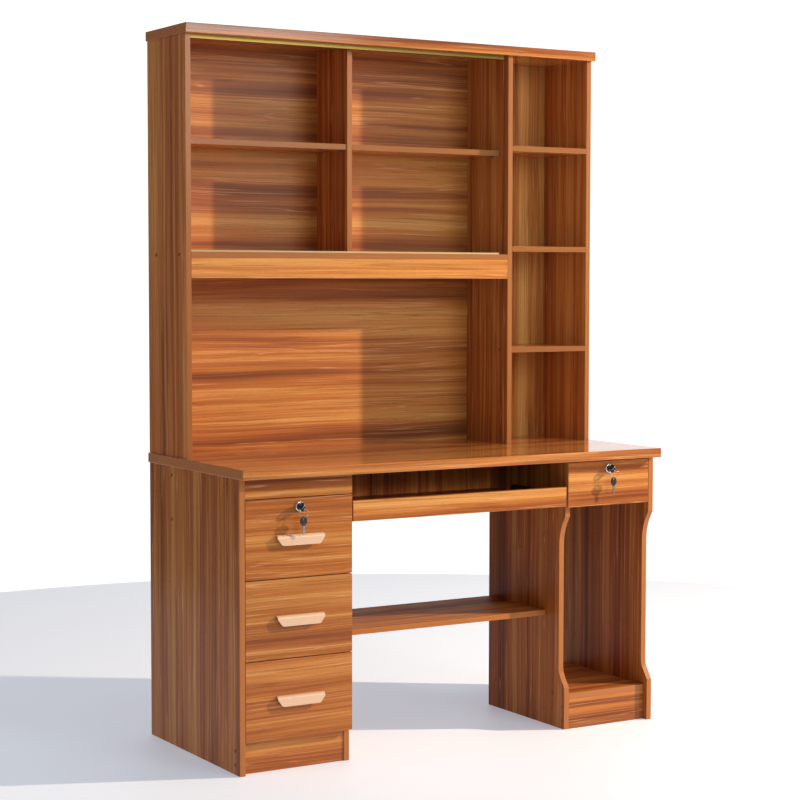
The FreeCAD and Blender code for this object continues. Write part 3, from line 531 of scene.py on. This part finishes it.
class DESK_OT_keys(bpy.types.Operator):
    """Plate the keys and mould a plastic cover over the bow of each"""
    bl_idname = "desk.keys"
    bl_label = "Keys"

    def execute(self, context):
        fittings = context.scene.desk_fittings
        # stamped blanks, ground and nickel plated: lines down the hanging blade
        nickel = drawn_metal("Nickel-plated steel, keys", fittings.nickel, 0.3 * MM, "Z", 0.24)
        # moulded ABS: a fine spark-eroded texture and a soft sheen
        plastic = speckled("Moulded black ABS", fittings.bow, 0.15, 0.25 * MM, 0.32, 0.12, ior=1.53,
                           bump=0.02 * MM)
        for lock in ("lock_1", "lock_2"):
            dress(lock + "_key", nickel)
            dress(lock + "_spare_key", nickel)
            low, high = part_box(lock + "_key")
            width = high[2] - low[2]
            # the key in the lock stands upright and points into the drawer
            eye = Vector(((low[0] + high[0]) / 2, low[1] + fittings.eye_inset,
                          (low[2] + high[2]) / 2))
            held = axes_matrix((0, 0, 1), (0, 1, 0), (-1, 0, 0), eye)
            self.cover(lock + "_key_cover", fittings, width, held, plastic, lock + "_plug_and_key")
            # the spare key hangs a ring's width below it, turned a little
            across = Vector((math.cos(fittings.spare_turn), math.sin(fittings.spare_turn), 0))
            down = Vector((0, 0, -1))
            eye_drop = 2 * (fittings.ring_sag + fittings.ring_radius)
            hanging = axes_matrix(across, down, across.cross(down), eye + down * eye_drop)
            self.cover(lock + "_spare_key_cover", fittings, width, hanging, plastic,
                       lock + "_hanging_key")
        return {"FINISHED"}

    def cover(self, name, fittings, width, place, plastic, body):
        """An oval plate round the eye; local y runs from the eye towards the blade."""
        bm = bmesh.new()
        bmesh.ops.create_circle(bm, cap_ends=False, segments=COVER_STEPS, radius=1)
        outer = bm.edges[:]
        margin = fittings.cover_margin
        oval = Matrix.Diagonal((width / 2 + margin, fittings.bow_length / 2 + margin, 1, 1))
        bmesh.ops.transform(bm, matrix=oval, verts=bm.verts)
        bmesh.ops.translate(bm, vec=(0, fittings.bow_length / 2 - fittings.eye_inset, 0),
                            verts=bm.verts)
        bmesh.ops.create_circle(bm, cap_ends=False, segments=COVER_STEPS, radius=fittings.eye_radius)
        inner = [edge for edge in bm.edges if edge not in outer]
        flat = bmesh.ops.bridge_loops(bm, edges=outer + inner)["faces"]
        half = fittings.bow_thickness / 2
        bmesh.ops.translate(bm, vec=(0, 0, -half), verts=bm.verts)
        grown = bmesh.ops.extrude_face_region(bm, geom=flat)["geom"]
        bmesh.ops.translate(bm, vec=(0, 0, fittings.bow_thickness),
                            verts=[item for item in grown if isinstance(item, bmesh.types.BMVert)])
        rims = [edge for edge in bm.edges if edge.calc_face_angle(0) > 1]
        bmesh.ops.bevel(bm, geom=rims, offset=fittings.cover_edge, offset_type="OFFSET", segments=3,
                        profile=0.5, affect="EDGES", material=-1, clamp_overlap=True)
        finish_mesh(bm, name, plastic, body, place)


class DESK_OT_tracks(bpy.types.Operator):
    """Finish the sliding-door tracks, their stop and the screw caps"""
    bl_idname = "desk.tracks"
    bl_label = "Tracks and caps"

    def execute(self, context):
        fittings = context.scene.desk_fittings
        # extruded, then anodised: satin, with fine die lines down its length
        gold = drawn_metal("Gold-anodised aluminium", fittings.gold, 0.4 * MM, "X", 0.34)
        # extruded PVC: dull and faintly mottled
        cream = speckled("Extruded cream PVC", fittings.cream, 0.08, 0.8 * MM, 0.42, 0.1, ior=1.53,
                         bump=0.02 * MM)
        # moulded rubber: almost no sheen
        rubber = speckled("Moulded rubber", fittings.stop, 0.2, 0.5 * MM, 0.62, 0.12, ior=1.52,
                          bump=0.05 * MM)
        # moulded polypropylene: waxy and soft
        brown = speckled("Moulded brown polypropylene", fittings.cap, 0.12, 0.6 * MM, 0.45, 0.12,
                         ior=1.49, bump=0.02 * MM)
        dress("upper_door_track", gold)
        dress("lower_door_track", cream)
        dress("door_stop", rubber)
        dress("screw_caps", brown)
        return {"FINISHED"}


# ---------------------------------------------------------------- stage

def aim(lamp, target):
    """Turn a lamp's -Z towards a place."""
    way = Vector(target) - lamp.location
    lamp.rotation_euler = way.to_track_quat("-Z", "Y").to_euler()


def softbox(name, place, target, size, power, colour, spread=180):
    """An area lamp; spread is the full angle of its beam in degrees."""
    lamp = bpy.data.lights.new(name, "AREA")
    lamp.spread = math.radians(spread)
    lamp.shape = "RECTANGLE"
    lamp.size, lamp.size_y = size
    lamp.energy = power
    lamp.color = colour
    holder = bpy.data.objects.new(name, lamp)
    holder.location = place
    aim(holder, target)
    bpy.context.scene.collection.objects.link(holder)


# the key lamp is small, warm and to the right, so the shadows are crisp and fall to the left
KEY_DISTANCE = 5.0
KEY_WAY = (0.815, -0.44, 0.38)
KEY_AIM = (0, 0, 0.85)
KEY_SIZE = (0.12, 0.12)
KEY_WATTS = 305
KEY_COLOUR = (1.0, 0.83, 0.62)
# name, place, aim, size in metres, watts, colour, beam in degrees
FILLS = (
    ("front fill", (1.4, -5.0, 3.3), (0, 0, 1.4), (2.2, 1.5), 34, (0.84, 1.0, 1.0), 180),
    ("upper fill", (0.9, -3.3, 2.1), (0, 0.2, 1.6), (1.4, 1.0), 2.2, (0.80, 1.0, 0.98), 45),
    ("column fill", (-1.6, -3.0, 1.35), (0.55, 0.1, 1.3), (0.5, 0.9), 0.5, (0.50, 1.0, 1.0), 25),
    ("side fill", (-4.6, 0.3, 2.2), (-0.6, 0, 1.3), (1.5, 1.5), 30, (1.0, 0.96, 0.90), 180),
)
# a white wall stands where a view runs this way, and the open room is lightest this way
WALL_WAY = (0.52, 0.85, 0.02)
WALL_FADE = [(0.70, 0), (0.93, 1)]
ROOM_WAY = (0.50, -0.80, 0.33)
ROOM_LEVELS = [(0.45, 0.12), (0.85, 0.42)]
# the floor's mottling, and the strength of the glow that stands for light from a white room
FLOOR_CELL = 400 * MM
FLOOR_GLOW = 0.30
FLOOR_CORNERS = 96
# the floor lies just under the panels' lower edges
FLOOR_GAP = 0.4 * MM
# the camera's sensor in millimetres, and how far it sees in metres
SENSOR_WIDTH = 36
FARTHEST = 200


class DESK_OT_stage(bpy.types.Operator):
    """Floor, backdrop, lamps and camera"""
    bl_idname = "desk.stage"
    bl_label = "Stage"

    def execute(self, context):
        settings = context.scene.desk_stage
        self.floor(settings)
        self.backdrop(context.scene)
        self.lamps()
        self.camera(context.scene, settings)
        context.scene.view_settings.view_transform = "Standard"
        return {"FINISHED"}

    def floor(self, settings):
        bm = bmesh.new()
        bmesh.ops.create_circle(bm, cap_ends=True, segments=FLOOR_CORNERS,
                                radius=settings.floor_radius)
        mesh = bpy.data.meshes.new("floor")
        bm.to_mesh(mesh)
        bm.free()
        # a painted studio floor: matt and very faintly mottled
        material, tree, shader = new_material("Matt white floor")
        place = add(tree, "ShaderNodeTexCoord").outputs["Object"]
        mottle = stretched_noise(tree, place, (FLOOR_CELL, FLOOR_CELL, FLOOR_CELL), 2)
        tree.links.new(maths(tree, "MULTIPLY_ADD", mottle, 0.1, 0.55), shader.inputs["Roughness"])
        shader.inputs["Base Color"].default_value = opaque(settings.floor)
        shader.inputs["Emission Color"].default_value = opaque(settings.floor_glow)
        shader.inputs["Emission Strength"].default_value = FLOOR_GLOW
        mesh.materials.append(material)
        floor = bpy.data.objects.new("floor", mesh)
        floor.location.z = -FLOOR_GAP
        bpy.context.scene.collection.objects.link(floor)

    def backdrop(self, scene):
        """A white studio wall behind the desk; the rest of the room is grey, lightest in front."""
        world = bpy.data.worlds.new("Studio")
        scene.world = world
        world.use_nodes = True
        tree = world.node_tree
        way = add(tree, "ShaderNodeTexCoord").outputs["Generated"]
        wall = add(tree, "ShaderNodeVectorMath", {0: way, 1: WALL_WAY}, operation="DOT_PRODUCT")
        room = add(tree, "ShaderNodeVectorMath", {0: way, 1: ROOM_WAY}, operation="DOT_PRODUCT")
        lit = grey_ramp(tree, wall.outputs["Value"], WALL_FADE)
        facing = maths(tree, "MULTIPLY_ADD", room.outputs["Value"], 0.5, 0.5)
        level = maths(tree, "ADD", grey_ramp(tree, facing, ROOM_LEVELS), lit)
        tree.links.new(level, tree.nodes["Background"].inputs["Color"])

    def lamps(self):
        """A small warm key lamp, which casts crisp shadows, and four large fills."""
        place = Vector(KEY_AIM) + Vector(KEY_WAY).normalized() * KEY_DISTANCE
        softbox("key lamp", place, KEY_AIM, KEY_SIZE, KEY_WATTS, KEY_COLOUR)
        for fill in FILLS:
            softbox(*fill)

    def camera(self, scene, settings):
        lens = bpy.data.cameras.new("camera")
        lens.lens = settings.lens
        lens.sensor_width = SENSOR_WIDTH
        lens.shift_x = settings.shift
        lens.clip_end = FARTHEST
        camera = bpy.data.objects.new("camera", lens)
        turn = (Matrix.Rotation(-settings.yaw, 4, "Z")
                @ Matrix.Rotation(math.pi / 2 + settings.pitch, 4, "X")
                @ Matrix.Rotation(settings.roll, 4, "Z"))
        camera.matrix_world = Matrix.Translation(settings.eye) @ turn
        scene.collection.objects.link(camera)
        scene.camera = camera


OPERATORS = (DESK_OT_boards, DESK_OT_drawer_boxes, DESK_OT_slides, DESK_OT_pulls, DESK_OT_locks,
             DESK_OT_keys, DESK_OT_tracks, DESK_OT_stage)


class DESK_PT_panel(bpy.types.Panel):
    """Everything that this file makes, in the order it is made"""
    bl_idname = "DESK_PT_panel"
    bl_label = "Computer desk"
    bl_space_type = "VIEW_3D"
    bl_region_type = "UI"
    bl_category = "Desk"

    def draw(self, context):
        for operator in OPERATORS:
            self.layout.operator(operator.bl_idname)


GROUPS = {"desk_foil": FoilSettings, "desk_fittings": FittingSettings, "desk_stage": StageSettings}
CLASSES = (*GROUPS.values(), *OPERATORS, DESK_PT_panel)


def register():
    for item in CLASSES:
        bpy.utils.register_class(item)
    for name, group in GROUPS.items():
        setattr(bpy.types.Scene, name, PointerProperty(type=group))


def unregister():
    for name in GROUPS:
        delattr(bpy.types.Scene, name)
    for item in reversed(CLASSES):
        bpy.utils.unregister_class(item)


def main():
    register()
    for operator in OPERATORS:
        group, name = operator.bl_idname.split(".")
        if getattr(getattr(bpy.ops, group), name)() != {"FINISHED"}:
            raise RuntimeError(operator.bl_idname + " did not finish")


if __name__ == "__main__":
    main()
